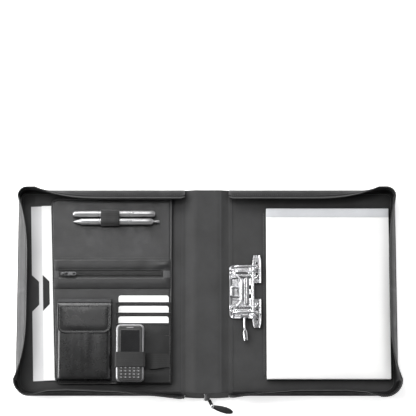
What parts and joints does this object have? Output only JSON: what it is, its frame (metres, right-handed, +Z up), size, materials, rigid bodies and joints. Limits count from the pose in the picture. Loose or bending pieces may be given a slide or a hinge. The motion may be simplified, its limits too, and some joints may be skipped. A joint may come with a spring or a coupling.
{
  "type": "portfolio case",
  "caption": "Zip-round portfolio case lying open: gusseted covers on a spine with a handle, ring mechanism, writing pad, organizer with pouch, pens and cards.",
  "frame": {"origin": "centre of the handle's flat outer face, on the table under the middle of the spine, with the case lying open", "axes": "+X to the back cover's fore edge, +Y to the top edge, +Z up, out of the open inside"},
  "size_m": [0.65, 0.393, 0.0317],
  "materials": {
    "case_leather": "soft sheen",
    "lining_fabric": "matt",
    "zip_tape": "matt weave",
    "ring_steel": "polished",
    "zip_metal": "dark nickel",
    "white_paper": "matt",
    "grey_board": "matt",
    "header_tape": "satin",
    "pen_silver": "satin",
    "phone_shell": "satin silver",
    "phone_glass": "gloss"
  },
  "bodies": {
    "back_cover": {"back_board": "case_leather", "back_lining": "lining_fabric", "back_corner_walls": "case_leather", "pad_flap": "lining_fabric", "pad_backing": "grey_board", "pad_sheets": "white_paper", "pad_header": "header_tape", "ring_plate": "ring_steel", "plate_rivets": "ring_steel", "ring_posts": "ring_steel", "arch_bearings": "ring_steel", "lever_bracket": "ring_steel", "lever_pin": "ring_steel"},
    "arches": {"ring_arches": "ring_steel"},
    "lever_body": {"lever": "ring_steel"},
    "compressor": {"compressor_bar": "ring_steel"},
    "back_side": {"back_side_wall": "case_leather", "back_side_zip": "zip_tape"},
    "back_top": {"back_top_wall": "case_leather", "back_top_zip": "zip_tape"},
    "back_bottom": {"back_bottom_wall": "case_leather", "back_bottom_zip": "zip_tape"},
    "spine": {"spine_panel": "case_leather", "handle_tongues": "case_leather", "handle_ends": "case_leather", "handle_keepers": "case_leather", "zip_slider": "zip_metal"},
    "handle": {"handle_strap": "case_leather"},
    "thong": {"pull_thong": "case_leather", "pull_rivet": "ring_steel"},
    "tab": {"pull_tab": "case_leather"},
    "front_cover": {"front_board": "case_leather", "front_overlay": "case_leather", "front_lining": "lining_fabric", "front_corner_walls": "case_leather", "lower_folder": "white_paper", "upper_folder": "white_paper", "organizer_panel": "case_leather", "pen_loop": "lining_fabric", "pocket_facing": "case_leather", "pocket_zip": "zip_tape", "pouch": "case_leather", "flap_back": "case_leather", "cards": "white_paper", "card_slots": "case_leather", "phone_strap": "lining_fabric"},
    "front_side": {"front_side_wall": "case_leather", "front_side_zip": "zip_tape"},
    "front_top": {"front_top_wall": "case_leather", "front_top_zip": "zip_tape"},
    "front_bottom": {"front_bottom_wall": "case_leather", "front_bottom_zip": "zip_tape"},
    "flap": {"pouch_flap": "case_leather"},
    "phone": {"phone_case": "phone_shell", "phone_face": "phone_glass"},
    "pen_a": {"upper_pen": "pen_silver"},
    "pen_b": {"lower_pen": "pen_silver"},
    "button": {"pen_button": "pen_silver"},
    "slider": {"pocket_slider": "zip_metal"},
    "puller": {"pocket_puller": "zip_metal"}
  },
  "joints": [
    {"name": "spine_fold", "type": "hinge", "parent": "back_cover", "child": "spine", "pos_m": [0.0285, 0, 0.0035], "axis": [0, 1, 0], "range_deg": [0, 90]},
    {"name": "cover_fold", "type": "hinge", "parent": "spine", "child": "front_cover", "pos_m": [-0.0285, 0, 0.0035], "axis": [0, 1, 0], "range_deg": [0, 90]},
    {"name": "back_side_raise", "type": "hinge", "parent": "back_cover", "child": "back_side", "pos_m": [0.322, 0, 0.0056], "axis": [0, 1, 0], "range_deg": [0, 24]},
    {"name": "back_top_raise", "type": "hinge", "parent": "back_cover", "child": "back_top", "pos_m": [0, 0.177, 0.0056], "axis": [-1, 0, 0], "range_deg": [0, 43]},
    {"name": "back_bottom_raise", "type": "hinge", "parent": "back_cover", "child": "back_bottom", "pos_m": [0, -0.177, 0.0056], "axis": [-1, 0, 0], "range_deg": [0, 10]},
    {"name": "front_side_raise", "type": "hinge", "parent": "front_cover", "child": "front_side", "pos_m": [-0.322, 0, 0.0056], "axis": [0, -1, 0], "range_deg": [0, 36]},
    {"name": "front_top_raise", "type": "hinge", "parent": "front_cover", "child": "front_top", "pos_m": [0, 0.177, 0.0056], "axis": [-1, 0, 0], "range_deg": [0, 43]},
    {"name": "front_bottom_raise", "type": "hinge", "parent": "front_cover", "child": "front_bottom", "pos_m": [0, -0.177, 0.0056], "axis": [-1, 0, 0], "range_deg": [0, 10]},
    {"name": "lever_lift", "type": "hinge", "parent": "back_cover", "child": "lever_body", "pos_m": [0.064, -0.043, 0.0096], "axis": [1, 0, 0], "range_deg": [-75, 0]},
    {"name": "arch_swing", "type": "hinge", "parent": "back_cover", "child": "arches", "pos_m": [0.046, 0, 0.008], "axis": [0, 1, 0], "range_deg": [-45, 0]},
    {"name": "compressor_slide", "type": "slide", "parent": "back_cover", "child": "compressor", "axis": [0, 0, 1], "range_m": [0, 0.007]},
    {"name": "handle_pull", "type": "slide", "parent": "spine", "child": "handle", "axis": [0, 0, -1], "range_m": [0, 0.02]},
    {"name": "thong_swing", "type": "hinge", "parent": "spine", "child": "thong", "pos_m": [0, -0.1836, 0.0027], "axis": [0, 0, 1], "range_deg": [-12, 20]},
    {"name": "tab_swing", "type": "hinge", "parent": "thong", "child": "tab", "pos_m": [0.009, -0.198, 0.0008], "axis": [0, 0, 1], "range_deg": [-60, 30]},
    {"name": "flap_open", "type": "hinge", "parent": "front_cover", "child": "flap", "pos_m": [0, -0.016, 0.0232], "axis": [1, 0, 0], "range_deg": [-105, 0]},
    {"name": "phone_slide", "type": "slide", "parent": "front_cover", "child": "phone", "axis": [0, -1, 0], "range_m": [-0.04, 0]},
    {"name": "upper_pen_slide", "type": "slide", "parent": "front_cover", "child": "pen_a", "axis": [-1, 0, 0], "range_m": [-0.045, 0]},
    {"name": "lower_pen_slide", "type": "slide", "parent": "front_cover", "child": "pen_b", "axis": [-1, 0, 0], "range_m": [-0.045, 0]},
    {"name": "pen_button_press", "type": "slide", "parent": "pen_b", "child": "button", "axis": [1, 0, 0], "range_m": [-0.003, 0], "stiffness_N_per_m": 200},
    {"name": "pocket_slider_slide", "type": "slide", "parent": "front_cover", "child": "slider", "axis": [-1, 0, 0], "range_m": [-0.145, 0]},
    {"name": "pocket_puller_swing", "type": "hinge", "parent": "slider", "child": "puller", "pos_m": [-0.2434, 0.03225, 0.0133], "axis": [0, 1, 0], "range_deg": [-120, 0]}
  ],
  "couplings": [
    {"joint": "back_top_raise", "follows": "back_side_raise", "ratio": 1.7917},
    {"joint": "back_bottom_raise", "follows": "back_side_raise", "ratio": 0.41666},
    {"joint": "front_top_raise", "follows": "front_side_raise", "ratio": 1.1944},
    {"joint": "front_bottom_raise", "follows": "front_side_raise", "ratio": 0.27777},
    {"joint": "lever_lift", "follows": "arch_swing", "ratio": 1.6666}
  ]
}
